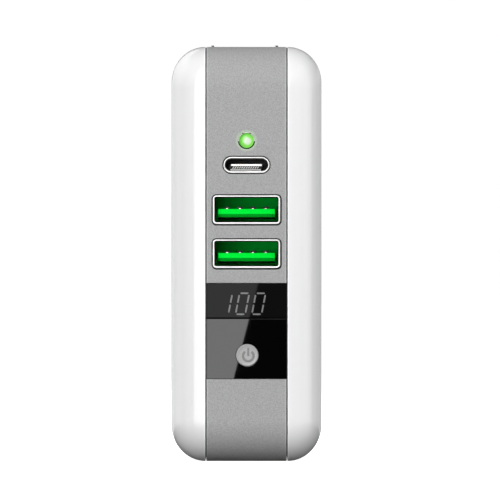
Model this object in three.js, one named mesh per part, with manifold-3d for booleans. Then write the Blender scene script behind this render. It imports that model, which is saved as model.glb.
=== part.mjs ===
// Plug-in power bank: a slim rounded battery pack that stands on its narrow base. Its front edge
// carries a status light, a USB-C and two USB-A sockets, a number display and a power button, and
// its top holds a two-blade mains plug that folds away. Every physical piece is its own named mesh.
// Millimetres. +Z up, the sockets face -Y, and the origin is the middle of the base.
import * as THREE from "three";
import { mergeVertices } from "three/addons/utils/BufferGeometryUtils.js";
import Module from "manifold-3d";

const wasm = await Module();
wasm.setup();

// ---------------------------------------------------------------- driving dimensions
const WIDTH = 29.5; // across both shells, X
const DEPTH = 78; // front to back, Y
const HEIGHT = 81.6; // base to top of the band, Z
const PROFILE_R = 8.2; // the band's corners, seen from the side
const BAND_HALF = 7.8; // half the band's visible width
const GAP = 0.3; // clearance between pieces that meet
const SOCKET_GAP = 0.22; // clearance round a socket's shell in the band
const SHELL_WALL = 1.8;
const STRIP = 1.4; // thickness of the band's visible strip
const LIP = 1.0; // thickness of the hidden lip that the shells lap over
const LIP_HALF = 9.6; // half the lip's width
const ROUND_START = BAND_HALF + GAP / 2; // where the shells begin to round over
const ROUND_X = WIDTH / 2 - ROUND_START; // the rounding's reach sideways
const ROUND_YZ = 7.1; // the rounding's reach inwards on the profile
const CURVE_SEGMENTS = 4; // three.js draws a quarter turn with twice this many sides
const BEVEL_SEGMENTS = 8; // steps across the shells' rounding

// Planes that several pieces share.
const FRONT = -DEPTH / 2;
const MIDDLE = HEIGHT / 2;
const STRIP_BACK = FRONT + STRIP; // the strip's inner face behind the front
const WALL_BACK = STRIP_BACK + LIP; // the whole front wall's inner face
const BOARD_FRONT = FRONT + 14.2; // the port board stands behind the sockets
const BOARD_BACK = BOARD_FRONT + 1.6;

// Heights of what shows on the front, from the base.
const STATUS_Z = 63.1;
const USB_C_Z = 58.3;
const USB_A_UPPER_Z = 49.5;
const USB_A_LOWER_Z = 40.85;
const WINDOW_TOP_Z = 35.0;
const WINDOW_BASE_Z = 16.3;
const DISPLAY_Z = 31.1;
const BUTTON_Z = 20.9;

const STATUS_R = 1.45;
const BUTTON_R = 2.25;
const BUTTON_TRAVEL = 0.5;
const PLUNGER_BASE = 0.8; // how far the switch's plunger stands out when fully pressed
const WINDOW_RECESS = 0.2;

// USB-A socket
const USB_A = { width: 13.3, height: 5.66, wall: 0.37, depth: 13.9, corner: 0.75 };
const TONGUE_A = { half: 5.65, low: -1.46, high: 0.15, recess: 1.6, slope: 0.65 };
const CONTACT_A = { width: 1.0, pitch: 2.54, count: 4, thick: 0.2, bump: 0.22 };

// USB-C socket
const USB_C = { width: 9.1, height: 3.2, wall: 0.33, depth: 9.8 };
const TONGUE_C = { half: 3.15, low: -0.22, high: 0.19, recess: 1.0, reach: 7.5 };
const CONTACT_C = { width: 0.28, pitch: 0.48, count: 12, upper: 0.08, lower: 0.5 };

// Folding mains plug: two blades on a roller that turns about X
const PLUG_Y = 8.0; // the roller's axis
const BLADE_PROUD = 0.5; // how far a folded blade stands above the top
const BLADE = { width: 6.35, thick: 1.5, spacing: 12.7, reach: 20.7, hole: 1.5 };
const PLUG_Z = HEIGHT + BLADE_PROUD - BLADE.width / 2;
const ROLLER_R = 3.1;
const TRUNNION_R = 1.2;
const TAIL_R = 4.3; // the contact tail's tip, from the roller's axis
const SLOT = { inner: 5.35, outer: 7.35, floor: PLUG_Z - BLADE.width / 2 - 0.35 };
const CRADLE = { front: PLUG_Y - BLADE.reach - 1.2, back: PLUG_Y + 5.4, half: 8.3, base: 74.6 };
const CRADLE_FLANGE = 1.1; // how far its top plate laps over the band's lip, front and back

// Battery cells, standing at the back
const CELL = { r: 9.2, height: 65, base: 4.6 };
const CELL_SPACING = 18.8;
const CELL_YS = [5.0, 5.0 + CELL_SPACING];
const CELL_TOP = CELL.base + CELL.height;

// Power board, upright beside the left shell
const POWER = { x0: -11.6, x1: -10.0, y0: -22.4, y1: -5.5, z0: 7, z1: 69 };
const POWER_FACE = POWER.x1 + 0.2; // what is mounted on the board starts here

// ---------------------------------------------------------------- materials
function finish(color, roughness, metalness = 0) {
  return new THREE.MeshStandardMaterial({ color, roughness, metalness });
}
const WHITE = finish(0xf1f1f0, 0.2);
const SILVER = finish(0xafafaf, 0.5, 0.25);
const SMOKED = finish(0x060606, 0.08);
const CAP_GREY = finish(0xb9b9b9, 0.4, 0.2);
const LENS_GREEN = finish(0x74e64a, 0.2);
const SOCKET_GREEN = finish(0x06c83a, 0.35);
const SOCKET_BLACK = finish(0x151515, 0.5);
const NICKEL = finish(0xd6d6d4, 0.25, 1);
const GOLD = finish(0xd9b45a, 0.3, 1);
const BOARD_GREEN = finish(0x1d5a34, 0.5);
const CELL_WRAP = finish(0x2f6fb5, 0.4);
const FOAM = finish(0x2c2c2e, 0.95);
const HOLDER = finish(0x3a3a3c, 0.6);
const FERRITE = finish(0x33312f, 0.7);
const TAPE = finish(0xe3b83a, 0.4);
const SLEEVE = finish(0x1f2a44, 0.4);
const ALUMINIUM = finish(0xbfc1c3, 0.4, 1);
const WIRE_RED = finish(0xb81d1d, 0.5);
const WIRE_BLACK = finish(0x1a1a1a, 0.5);
const WIRE_BLUE = finish(0x2a55a8, 0.5);

// ---------------------------------------------------------------- solids from three.js geometry
function solid(geometry) {
  geometry.deleteAttribute("normal");
  geometry.deleteAttribute("uv");
  const merged = mergeVertices(geometry, 1e-4);
  return new wasm.Manifold(
    new wasm.Mesh({
      numProp: 3,
      vertProperties: merged.attributes.position.array,
      triVerts: new Uint32Array(merged.index.array),
    }),
  );
}

function piece(name, made, material) {
  const { vertProperties, triVerts } = made.getMesh();
  const geometry = new THREE.BufferGeometry()
    .setAttribute("position", new THREE.BufferAttribute(vertProperties, 3))
    .setIndex(new THREE.BufferAttribute(triVerts, 1));
  geometry.computeVertexNormals();
  const mesh = new THREE.Mesh(geometry, material);
  mesh.name = name;
  return mesh;
}

function box(x0, x1, y0, y1, z0, z1) {
  const geometry = new THREE.BoxGeometry(x1 - x0, y1 - y0, z1 - z0);
  geometry.translate((x0 + x1) / 2, (y0 + y1) / 2, (z0 + z1) / 2);
  return solid(geometry);
}

// A box centred on x = 0.
function wideBox(half, y0, y1, z0, z1) {
  return box(-half, half, y0, y1, z0, z1);
}

const AXIS_X = new THREE.Vector3(1, 0, 0);
const AXIS_Y = new THREE.Vector3(0, 1, 0);
const AXIS_Z = new THREE.Vector3(0, 0, 1);
const YZ_DRAWING = new THREE.Matrix4().makeBasis(AXIS_Y, AXIS_Z, AXIS_X);
const XZ_DRAWING = new THREE.Matrix4().makeBasis(AXIS_X, AXIS_Z, AXIS_Y.clone().negate());

// A shape drawn in (y, z), from x0 to x1.
function alongX(shape, x0, x1, options = {}) {
  const settings = { depth: x1 - x0, bevelEnabled: false, curveSegments: CURVE_SEGMENTS, ...options };
  const geometry = new THREE.ExtrudeGeometry(shape, settings);
  geometry.applyMatrix4(YZ_DRAWING);
  geometry.translate(x0, 0, 0);
  return solid(geometry);
}

// A shape drawn in (x, z), from y0 to y1.
function alongY(shape, y0, y1) {
  const settings = { depth: y1 - y0, bevelEnabled: false, curveSegments: CURVE_SEGMENTS };
  const geometry = new THREE.ExtrudeGeometry(shape, settings);
  geometry.applyMatrix4(XZ_DRAWING);
  geometry.translate(0, y1, 0);
  return solid(geometry);
}

// A shape drawn in (x, y), from z0 to z1.
function alongZ(shape, z0, z1) {
  const settings = { depth: z1 - z0, bevelEnabled: false, curveSegments: CURVE_SEGMENTS };
  const geometry = new THREE.ExtrudeGeometry(shape, settings);
  geometry.translate(0, 0, z0);
  return solid(geometry);
}

// A rounded rectangle centred on (cx, cy).
function roundedRect(width, height, radius, cx = 0, cy = 0) {
  const right = cx + width / 2 - radius;
  const left = cx - width / 2 + radius;
  const top = cy + height / 2 - radius;
  const bottom = cy - height / 2 + radius;
  const shape = new THREE.Shape();
  shape.absarc(right, top, radius, 0, Math.PI / 2);
  shape.absarc(left, top, radius, Math.PI / 2, Math.PI);
  shape.absarc(left, bottom, radius, Math.PI, 1.5 * Math.PI);
  shape.absarc(right, bottom, radius, 1.5 * Math.PI, 2 * Math.PI);
  return shape;
}

function polygon(points) {
  return new THREE.Shape(points.map(([x, y]) => new THREE.Vector2(x, y)));
}

function cylinder(radius, length, segments) {
  return new THREE.CylinderGeometry(radius, radius, length, segments);
}

function cylinderX(radius, x0, x1, y, z, segments = 24) {
  const geometry = cylinder(radius, x1 - x0, segments).rotateZ(Math.PI / 2);
  return solid(geometry.translate((x0 + x1) / 2, y, z));
}

function cylinderY(radius, y0, y1, x, z, segments = 24) {
  return solid(cylinder(radius, y1 - y0, segments).translate(x, (y0 + y1) / 2, z));
}

function cylinderZ(radius, z0, z1, x, y, segments = 24) {
  const geometry = cylinder(radius, z1 - z0, segments).rotateX(Math.PI / 2);
  return solid(geometry.translate(x, y, (z0 + z1) / 2));
}

// A profile of [radius, y] points, turned about the line x = 0 at height z.
function turnedY(profile, z, segments = 32) {
  const points = profile.map(([radius, y]) => new THREE.Vector2(radius, y));
  return solid(new THREE.LatheGeometry(points, segments).translate(0, 0, z));
}

// A round wire through a list of points.
function wire(points, radius) {
  const curve = new THREE.CatmullRomCurve3(points.map((p) => new THREE.Vector3(...p)));
  const section = new THREE.Shape().absarc(0, 0, radius, 0, 2 * Math.PI);
  const settings = { steps: 18, extrudePath: curve, curveSegments: 4, bevelEnabled: false };
  return solid(new THREE.ExtrudeGeometry(section, settings));
}

function joined(...solids) {
  return solids.reduce((whole, next) => whole.add(next));
}

// ---------------------------------------------------------------- the body's outer form
// The band's side profile, drawn in by inset.
function profile(inset) {
  return roundedRect(DEPTH - 2 * inset, HEIGHT - 2 * inset, PROFILE_R - inset, 0, MIDDLE);
}

// The whole body's outer form, drawn in by inset on every side.
function bodyForm(inset) {
  const face = roundedRect(
    DEPTH - 2 * ROUND_YZ,
    HEIGHT - 2 * ROUND_YZ,
    PROFILE_R - ROUND_YZ,
    0,
    MIDDLE,
  );
  return alongX(face, -ROUND_START, ROUND_START, {
    bevelEnabled: true,
    bevelThickness: ROUND_X - inset,
    bevelSize: ROUND_YZ - inset,
    bevelSegments: BEVEL_SEGMENTS,
  });
}

function ring(outerInset, innerInset, half) {
  return alongX(profile(outerInset), -half, half).subtract(
    alongX(profile(innerInset), -half - 1, half + 1),
  );
}

// ---------------------------------------------------------------- casing
const SHELL_LAP = 1.1; // wall left where a shell laps over the band's lip

// side is 1 for the right shell and -1 for the left one.
function sideShell(side) {
  const far = side * (WIDTH / 2 + 1);
  const rim = side * (BAND_HALF + GAP);
  const lapEnd = side * (LIP_HALF + GAP);
  const half = box(Math.min(rim, far), Math.max(rim, far), -DEPTH, DEPTH, -1, HEIGHT + 1);
  const lap = alongX(profile(SHELL_LAP), Math.min(0, lapEnd), Math.max(0, lapEnd));
  return bodyForm(0).subtract(bodyForm(SHELL_WALL)).intersect(half).subtract(lap);
}

const POST_ZS = [11.8, 68.3]; // the screw posts that carry the port board
const SCREW_R = 0.8;

function screwPost(z) {
  const post = cylinderY(2.4, WALL_BACK - 0.2, BOARD_FRONT - GAP, 0, z);
  return post.subtract(cylinderY(SCREW_R + GAP, BOARD_FRONT - 6, BOARD_FRONT, 0, z, 16));
}

function socketHoleA(z) {
  const shape = roundedRect(
    USB_A.width + 2 * SOCKET_GAP,
    USB_A.height + 2 * SOCKET_GAP,
    USB_A.corner + SOCKET_GAP,
    0,
    z,
  );
  return alongY(shape, FRONT - 1, WALL_BACK + 1);
}

// The space the plug's cradle takes in the top of the band, down to z.
function cradleOpening(half, flange, z) {
  const reach = flange + GAP;
  return wideBox(half, CRADLE.front - reach, CRADLE.back + reach, z, HEIGHT + 1);
}

function bandFrame() {
  const windowRecess = wideBox(
    BAND_HALF + 1,
    FRONT - 1,
    STRIP_BACK,
    WINDOW_BASE_Z - 0.15,
    WINDOW_TOP_Z + 0.15,
  );
  const usbC = roundedRect(
    USB_C.width + 2 * SOCKET_GAP,
    USB_C.height + 2 * SOCKET_GAP,
    USB_C.height / 2 + SOCKET_GAP - 0.01,
    0,
    USB_C_Z,
  );
  const holes = [
    windowRecess,
    cylinderY(STATUS_R + SOCKET_GAP, FRONT - 1, WALL_BACK + 1, 0, STATUS_Z, 32),
    alongY(usbC, FRONT - 1, WALL_BACK + 1),
    socketHoleA(USB_A_UPPER_Z),
    socketHoleA(USB_A_LOWER_Z),
    wideBox(6.9, FRONT, WALL_BACK + 1, DISPLAY_Z - 2.85, DISPLAY_Z + 2.85),
    cylinderY(BUTTON_R + GAP, FRONT, WALL_BACK + 1, 0, BUTTON_Z),
    cradleOpening(BAND_HALF + 1, CRADLE_FLANGE, HEIGHT - STRIP),
    cradleOpening(CRADLE.half + GAP, 0, HEIGHT - STRIP - LIP - 1),
  ];
  const frame = ring(0, STRIP + 0.01, BAND_HALF).add(ring(STRIP, STRIP + LIP, LIP_HALF));
  return holes.reduce((left, hole) => left.subtract(hole), frame).add(
    joined(...POST_ZS.map(screwPost)),
  );
}

function displayWindow() {
  const plate = wideBox(
    BAND_HALF - 0.05,
    FRONT + WINDOW_RECESS,
    STRIP_BACK - 0.1,
    WINDOW_BASE_Z,
    WINDOW_TOP_Z,
  );
  return plate.subtract(cylinderY(BUTTON_R + GAP, FRONT, STRIP_BACK, 0, BUTTON_Z, 32));
}

// A domed rod that carries the status LED's light to the front.
function lightPipe() {
  const dome = [0, 0.35, 0.7, 1].map((t) => [
    STATUS_R * Math.sin((t * Math.PI) / 2),
    FRONT + 0.7 * (1 - Math.cos((t * Math.PI) / 2)),
  ]);
  const back = BOARD_FRONT - 1.2;
  const flange = WALL_BACK + GAP;
  return turnedY(
    [
      ...dome,
      [STATUS_R, flange],
      [STATUS_R + 0.6, flange],
      [STATUS_R + 0.6, flange + 1],
      [STATUS_R, flange + 1],
      [STATUS_R, back],
      [0, back],
    ],
    STATUS_Z,
  );
}

// ---------------------------------------------------------------- sockets
function usbAShell() {
  const { width, height, wall, depth, corner } = USB_A;
  const outer = alongY(roundedRect(width, height, corner), 0, depth);
  const inner = alongY(roundedRect(width - 2 * wall, height - 2 * wall, corner - wall), -1, depth + 1);
  return outer.subtract(inner);
}

// The tongue's lower front edge slopes back, and its block closes the socket behind it.
function usbATongue() {
  const { half, low, high, recess, slope } = TONGUE_A;
  const rear = USB_A.depth - 3.5;
  const block = wideBox(6.0, rear, USB_A.depth, -2.2, 2.2);
  const side = polygon([
    [recess, high],
    [recess, low + slope],
    [recess + slope, low],
    [rear + 0.1, low],
    [rear + 0.1, high],
  ]);
  return block.add(alongX(side, -half, half));
}

// A flat spring contact on the tongue, with a raised nose near the mouth.
function usbAContact(x) {
  const { width, thick, bump } = CONTACT_A;
  const foot = TONGUE_A.high + 0.02;
  const nose = TONGUE_A.recess + 0.25;
  const side = polygon([
    [nose, foot],
    [USB_A.depth - 3.6, foot],
    [USB_A.depth - 3.6, foot + thick],
    [nose + 2.6, foot + thick],
    [nose + 1.7, foot + thick + bump],
    [nose + 0.9, foot + thick + bump],
    [nose, foot + thick],
  ]);
  return alongX(side, x - width / 2, x + width / 2);
}

function usbASocket(prefix, z) {
  const socket = new THREE.Group();
  socket.position.set(0, FRONT, z);
  socket.add(piece(`${prefix}_shell`, usbAShell(), NICKEL));
  socket.add(piece(`${prefix}_tongue`, usbATongue(), SOCKET_GREEN));
  for (let i = 0; i < CONTACT_A.count; i++) {
    const x = (i - (CONTACT_A.count - 1) / 2) * CONTACT_A.pitch;
    socket.add(piece(`${prefix}_contact_${i + 1}`, usbAContact(x), NICKEL));
  }
  return socket;
}

function usbCShell() {
  const { width, height, wall, depth } = USB_C;
  const outer = alongY(roundedRect(width, height, height / 2 - 0.01), 0, depth);
  const inner = roundedRect(width - 2 * wall, height - 2 * wall, height / 2 - wall - 0.01);
  return outer.subtract(alongY(inner, -1, depth + 1));
}

function usbCTongue() {
  const { half, low, high, recess, reach } = TONGUE_C;
  const block = alongY(roundedRect(8.0, 2.2, 1.0), reach, USB_C.depth);
  return block.add(wideBox(half, recess, reach + 0.1, low, high));
}

// A comb of contacts that lies along one face of the tongue, between heights low and high.
function usbCContacts(low, high) {
  const { width, pitch, count } = CONTACT_C;
  const back = TONGUE_C.reach - 0.1;
  const end = ((count - 1) / 2) * pitch + width / 2;
  const teeth = Array.from({ length: count }, (_, i) => {
    const x = (i - (count - 1) / 2) * pitch;
    return box(x - width / 2, x + width / 2, TONGUE_C.recess + 0.4, back, low, high);
  });
  return joined(wideBox(end, back - 0.4, back, low, high), ...teeth);
}

function usbCSocket() {
  const socket = new THREE.Group();
  socket.position.set(0, FRONT, USB_C_Z);
  const stand = alongY(roundedRect(9.4, 3.6, 1.2), USB_C.depth + 0.2, BOARD_FRONT - FRONT - 0.2);
  socket.add(piece("usb_c_shell", usbCShell(), NICKEL));
  socket.add(piece("usb_c_tongue", usbCTongue(), SOCKET_BLACK));
  const above = TONGUE_C.high + 0.02;
  const below = TONGUE_C.low - 0.02;
  const upper = usbCContacts(above, above + CONTACT_C.upper);
  const lower = usbCContacts(below - CONTACT_C.lower, below);
  socket.add(piece("usb_c_contacts_upper", upper, GOLD));
  socket.add(piece("usb_c_contacts_lower", lower, GOLD));
  socket.add(piece("usb_c_stand", stand, SOCKET_BLACK));
  return socket;
}

// ---------------------------------------------------------------- power button and its switch
const SWITCH_HEIGHT = 3.4;
const PLUNGER_FRONT = BOARD_FRONT - SWITCH_HEIGHT - PLUNGER_BASE - BUTTON_TRAVEL;

function buttonCap() {
  const collar = WALL_BACK + GAP;
  return turnedY(
    [
      [0, FRONT],
      [BUTTON_R - 0.35, FRONT],
      [BUTTON_R - 0.1, FRONT + 0.08],
      [BUTTON_R, FRONT + 0.3],
      [BUTTON_R, collar],
      [BUTTON_R + 0.85, collar],
      [BUTTON_R + 0.85, collar + 0.8],
      [1.5, collar + 0.8],
      [1.5, PLUNGER_FRONT - GAP],
      [0, PLUNGER_FRONT - GAP],
    ],
    BUTTON_Z,
    48,
  );
}

function switchBase() {
  const front = BOARD_FRONT - SWITCH_HEIGHT;
  const body = wideBox(3, front, BOARD_FRONT - 0.05, BUTTON_Z - 3, BUTTON_Z + 3);
  return body.subtract(cylinderY(2.05, front - 1, front + 1.4, 0, BUTTON_Z));
}

function switchPlunger() {
  const back = BOARD_FRONT - SWITCH_HEIGHT + 0.6;
  return cylinderY(1.75, PLUNGER_FRONT, back, 0, BUTTON_Z);
}

// ---------------------------------------------------------------- port board
function portBoard() {
  const board = wideBox(10.6, BOARD_FRONT, BOARD_BACK, 9, 71);
  const holes = POST_ZS.map((z) =>
    cylinderY(SCREW_R + GAP, BOARD_FRONT - 1, BOARD_BACK + 1, 0, z, 16),
  );
  return board.subtract(joined(...holes));
}

// The number display's package with its two rows of pins.
function displayModule() {
  const back = BOARD_FRONT - 5.2;
  const body = wideBox(6.5, STRIP_BACK + 0.2, back, DISPLAY_Z - 2.55, DISPLAY_Z + 2.55);
  const pins = [-1, 1].flatMap((row) =>
    [-5, -2.5, 0, 2.5, 5].map((x) => {
      const z = DISPLAY_Z + row * 2;
      return box(x - 0.25, x + 0.25, back - 0.1, BOARD_FRONT - 0.1, z - 0.25, z + 0.25);
    }),
  );
  return joined(body, ...pins);
}

function boardScrew(z) {
  const head = cylinderY(1.9, BOARD_BACK + 0.1, BOARD_BACK + 1.4, 0, z);
  return head.add(cylinderY(SCREW_R, BOARD_FRONT - 5, BOARD_BACK + 0.2, 0, z, 16));
}

// ---------------------------------------------------------------- power board
// The ferrite core: a closed frame round two windows, with the middle leg along Z.
const CORE = { y: -13.9, z: 41, halfY: 8.0, halfZ: 7.6, leg: 2.3, window: 3.3, x0: -6.2, x1: 0.2 };

function transformerCore() {
  const { y, z, halfY, halfZ, leg, window, x0, x1 } = CORE;
  const frame = box(x0, x1, y - halfY, y + halfY, z - halfZ, z + halfZ);
  const openings = [-1, 1].map((side) => {
    const near = y + side * leg;
    const far = near + side * window;
    return box(x0 - 1, x1 + 1, Math.min(near, far), Math.max(near, far), z - 4.8, z + 4.8);
  });
  return frame.subtract(joined(...openings));
}

function transformerWinding() {
  const { y, z, leg, window, x0, x1 } = CORE;
  const middle = (x0 + x1) / 2;
  const reach = 2 * (leg + window - GAP);
  const outer = roundedRect(12.2, reach, 2.4, middle, y);
  const hole = roundedRect(x1 - x0 + 2 * GAP, 2 * (leg + GAP), 0.4, middle, y);
  return alongZ(outer, z - 4.4, z + 4.4).subtract(alongZ(hole, z - 5, z + 5));
}

// An electrolytic capacitor standing along Z, with its crimped neck.
function capacitor(radius, z0, z1, y) {
  const x = POWER_FACE + radius;
  const neck = cylinderZ(radius - 0.5, z0 + 1, z0 + 2.2, x, y);
  const foot = cylinderZ(radius, z0, z0 + 1.1, x, y);
  return joined(neck, foot, cylinderZ(radius, z0 + 2.1, z1, x, y));
}

function powerInductor() {
  const body = roundedRect(9, 9, 1.5, -16.9, 15);
  return alongX(body, POWER_FACE, POWER_FACE + 5.5);
}

function heatSpreader() {
  const plate = box(POWER_FACE + 0.2, POWER_FACE + 1.4, -19.4, -6, 22.5, 31.5);
  const fin = box(POWER_FACE + 0.2, POWER_FACE + 9, -7.2, -6, 22.5, 31.5);
  return plate.add(fin);
}

// The header that joins the power board to the port board.
function boardLink() {
  return box(POWER_FACE, POWER_FACE + 4, BOARD_BACK + 0.2, BOARD_BACK + 3.2, 23.5, 30.5);
}

// ---------------------------------------------------------------- battery
function cell(y) {
  const body = cylinderZ(CELL.r, CELL.base, CELL_TOP - 0.5, 0, y, 40);
  return body.add(cylinderZ(3.2, CELL_TOP - 0.6, CELL_TOP, 0, y));
}

// The nickel strip that joins both cells' ends, with a tab that comes out at the front.
const STRIP_HALF = 3;
const HOLDER_FRONT = CELL_YS[0] - CELL.r - 0.9;
const TAB_END = HOLDER_FRONT - 0.8;

function cellStrip(z0, z1) {
  const shape = roundedRect(2 * STRIP_HALF, CELL_SPACING + 9, 1.5, 0, (CELL_YS[0] + CELL_YS[1]) / 2);
  return alongZ(shape, z0, z1).add(box(0.5, STRIP_HALF, TAB_END, CELL_YS[0], z0, z1));
}

// A moulded end cap that holds both cells apart; pocket is the stretch of Z that the cells enter.
function cellHolder(z0, z1, pocket0, pocket1) {
  const slab = wideBox(11.3, HOLDER_FRONT, FRONT + DEPTH - 3.4, z0, z1);
  const pockets = CELL_YS.map((y) => cylinderZ(CELL.r + GAP, pocket0, pocket1, 0, y, 40));
  const channel = wideBox(STRIP_HALF + GAP, TAB_END, CELL_YS[1], pocket0, pocket1);
  return slab.intersect(bodyForm(STRIP + LIP + 0.6)).subtract(joined(channel, ...pockets));
}

function foamPad(side) {
  const x = side * (CELL.r + 0.5);
  const far = side * (WIDTH / 2 - SHELL_WALL - 0.35);
  const y0 = CELL_YS[0] - 6;
  const y1 = CELL_YS[1] + 6;
  return box(Math.min(x, far), Math.max(x, far), y0, y1, 16, 60);
}

// ---------------------------------------------------------------- folding plug
// The moulded tray in the top: two blade slots, the roller's well and a finger scoop between them.
function plugCradle() {
  const { front, back, half, base } = CRADLE;
  const flange = CRADLE_FLANGE;
  const top = wideBox(BAND_HALF, front - flange, back + flange, HEIGHT - STRIP, HEIGHT);
  const tray = wideBox(half, front, back, base, HEIGHT - STRIP + 0.01);
  const tip = PLUG_Y - BLADE.reach;
  const wellFront = PLUG_Y - ROLLER_R - 0.4;
  const wellBack = PLUG_Y + TAIL_R + 0.4;
  const slots = [-1, 1].map((side) => {
    const inner = side * SLOT.inner;
    const outer = side * SLOT.outer;
    const [low, high] = [Math.min(inner, outer), Math.max(inner, outer)];
    return box(low, high, tip - 0.5, wellFront + 0.1, SLOT.floor, HEIGHT + 1);
  });
  const cuts = [
    ...slots,
    wideBox(SLOT.outer, wellFront, wellBack, base - 1, HEIGHT + 1),
    cylinderX(7, -SLOT.inner - 0.05, SLOT.inner + 0.05, tip + 4, HEIGHT + 5.2, 48),
    cylinderX(TRUNNION_R + GAP, -half - 1, half + 1, PLUG_Y, PLUG_Z),
  ];
  return cuts.reduce((left, cut) => left.subtract(cut), top.add(tray));
}

// The roller, drawn about its own axis, with stub shafts through the blades into the cradle.
function plugRoller() {
  const inner = BLADE.spacing / 2 - BLADE.thick / 2 - 0.15;
  const barrel = cylinderX(ROLLER_R, -inner, inner, 0, 0, 48);
  const flats = [
    wideBox(inner + 1, 2.8, 4, -4, 4),
    wideBox(inner + 1, -4, 4, -4, -2.8),
  ];
  const shaft = cylinderX(TRUNNION_R, -CRADLE.half, CRADLE.half, 0, 0);
  return barrel.subtract(joined(...flats)).add(shaft);
}

// A folded blade: it points to -Y, with its contact tail behind the roller.
function plugBlade(side) {
  const { width, thick, spacing, reach, hole } = BLADE;
  const x = (side * spacing) / 2;
  const tipR = 1.4;
  const outline = new THREE.Shape();
  outline.absarc(0, 0, width / 2, -Math.PI / 2, Math.PI / 2);
  outline.absarc(-reach + tipR, width / 2 - tipR, tipR, Math.PI / 2, Math.PI);
  outline.absarc(-reach + tipR, -width / 2 + tipR, tipR, Math.PI, 1.5 * Math.PI);
  const flat = alongX(outline, x - thick / 2, x + thick / 2);
  const tail = box(x - thick / 2, x + thick / 2, 2.5, TAIL_R, -1, 1);
  const plan = polygon([
    [x - 0.35, -reach - 0.01],
    [x + 0.35, -reach - 0.01],
    [x + thick / 2 + 0.01, -reach + 1.5],
    [x + thick / 2 + 0.01, TAIL_R + 1],
    [x - thick / 2 - 0.01, TAIL_R + 1],
    [x - thick / 2 - 0.01, -reach + 1.5],
  ]);
  const shaftHole = cylinderX(TRUNNION_R + GAP, x - thick, x + thick, 0, 0);
  const lockHole = cylinderX(hole, x - thick, x + thick, -reach + 6.2, 0);
  const whole = flat.add(tail).intersect(alongZ(plan, -width, width));
  return whole.subtract(shaftHole).subtract(lockHole);
}

// The leaf that takes mains from a blade's tail once the plug is out, and its soldering leg.
const LEG_Y = -9.8;
const LEG_Z = PLUG_Z - TAIL_R - 2.75;

function plugContact(side) {
  const z = PLUG_Z - TAIL_R - 0.35;
  const x = (side * BLADE.spacing) / 2;
  const leaf = polygon([
    [PLUG_Y + 2.5, z],
    [LEG_Y - 0.2, z],
    [LEG_Y - 0.2, LEG_Z],
    [LEG_Y + 0.2, LEG_Z],
    [LEG_Y + 0.2, z - 0.4],
    [PLUG_Y + 2.5, z - 0.4],
  ]);
  return alongX(leaf, x - 0.5, x + 0.5);
}

// The spring leaf whose flat side snaps onto the roller's flats.
function detentSpring() {
  const z = PLUG_Z - ROLLER_R - 0.12;
  const back = PLUG_Y + TAIL_R + 0.1;
  const leaf = polygon([
    [PLUG_Y - 3.2, z],
    [PLUG_Y - 3.2, z - 0.35],
    [back - 0.35, z - 0.35],
    [back - 0.35, CRADLE.base + 0.1],
    [back, CRADLE.base + 0.1],
    [back, z],
  ]);
  return alongX(leaf, -2.2, 2.2);
}

function foldingPlug() {
  const plug = new THREE.Group();
  plug.position.set(0, PLUG_Y, PLUG_Z);
  plug.add(piece("plug_roller", plugRoller(), WHITE));
  plug.add(piece("plug_blade_left", plugBlade(-1), NICKEL));
  plug.add(piece("plug_blade_right", plugBlade(1), NICKEL));
  return plug;
}

// ---------------------------------------------------------------- internal wiring
const WIRE_R = 0.75;
const WIRE_X = POWER_FACE + WIRE_R + 0.1;

// From a contact leaf's leg to the top of the power board.
function mainsLead(side) {
  const x = (side * BLADE.spacing) / 2;
  const top = LEG_Z - 0.6;
  const end = LEG_Y - 6 - side * 2;
  return wire(
    [
      [x, LEG_Y, top],
      [x - 0.5, LEG_Y - 1.5, top - 0.9],
      [(x + WIRE_X) / 2, (LEG_Y + end) / 2, top - 1.5],
      [WIRE_X + 0.4, end, top - 1.9],
      [WIRE_X, end, 66.5],
    ],
    WIRE_R,
  );
}

// From a cell strip's tab at height z, past the power parts, to the port board at boardZ.
function batteryLead(z, boardZ) {
  const x = 7;
  const start = TAB_END - 0.35;
  const at = (share) => z + share * (boardZ - z);
  return wire(
    [
      [1.8, start, z],
      [2.1, start - 1.1, at(0.03)],
      [3.2, start - 2, at(0.14)],
      [5.4, start - 2.9, at(0.4)],
      [x, start - 5, at(0.75)],
      [x, start - 9, at(0.97)],
      [x, BOARD_BACK + 0.15, boardZ],
    ],
    WIRE_R,
  );
}

// ---------------------------------------------------------------- assembly
const bank = new THREE.Group();

bank.add(piece("left_shell", sideShell(-1), WHITE));
bank.add(piece("right_shell", sideShell(1), WHITE));
bank.add(piece("band_frame", bandFrame(), SILVER));
bank.add(piece("display_window", displayWindow(), SMOKED));
bank.add(piece("status_light_pipe", lightPipe(), LENS_GREEN));

bank.add(usbASocket("usb_a_upper", USB_A_UPPER_Z));
bank.add(usbASocket("usb_a_lower", USB_A_LOWER_Z));
bank.add(usbCSocket());

bank.add(piece("power_button_cap", buttonCap(), CAP_GREY));
bank.add(piece("switch_plunger", switchPlunger(), SOCKET_BLACK));
bank.add(piece("switch_base", switchBase(), NICKEL));

bank.add(piece("port_board", portBoard(), BOARD_GREEN));
bank.add(piece("display_module", displayModule(), SOCKET_BLACK));
const statusLed = wideBox(0.8, BOARD_FRONT - 0.8, BOARD_FRONT - 0.05, STATUS_Z - 0.5, STATUS_Z + 0.5);
bank.add(piece("status_led", statusLed, WHITE));
const controller = wideBox(2.5, BOARD_BACK + 0.05, BOARD_BACK + 1.05, 43, 48);
bank.add(piece("charge_controller_chip", controller, SOCKET_BLACK));
bank.add(piece("board_screw_lower", boardScrew(POST_ZS[0]), NICKEL));
bank.add(piece("board_screw_upper", boardScrew(POST_ZS[1]), NICKEL));

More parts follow.
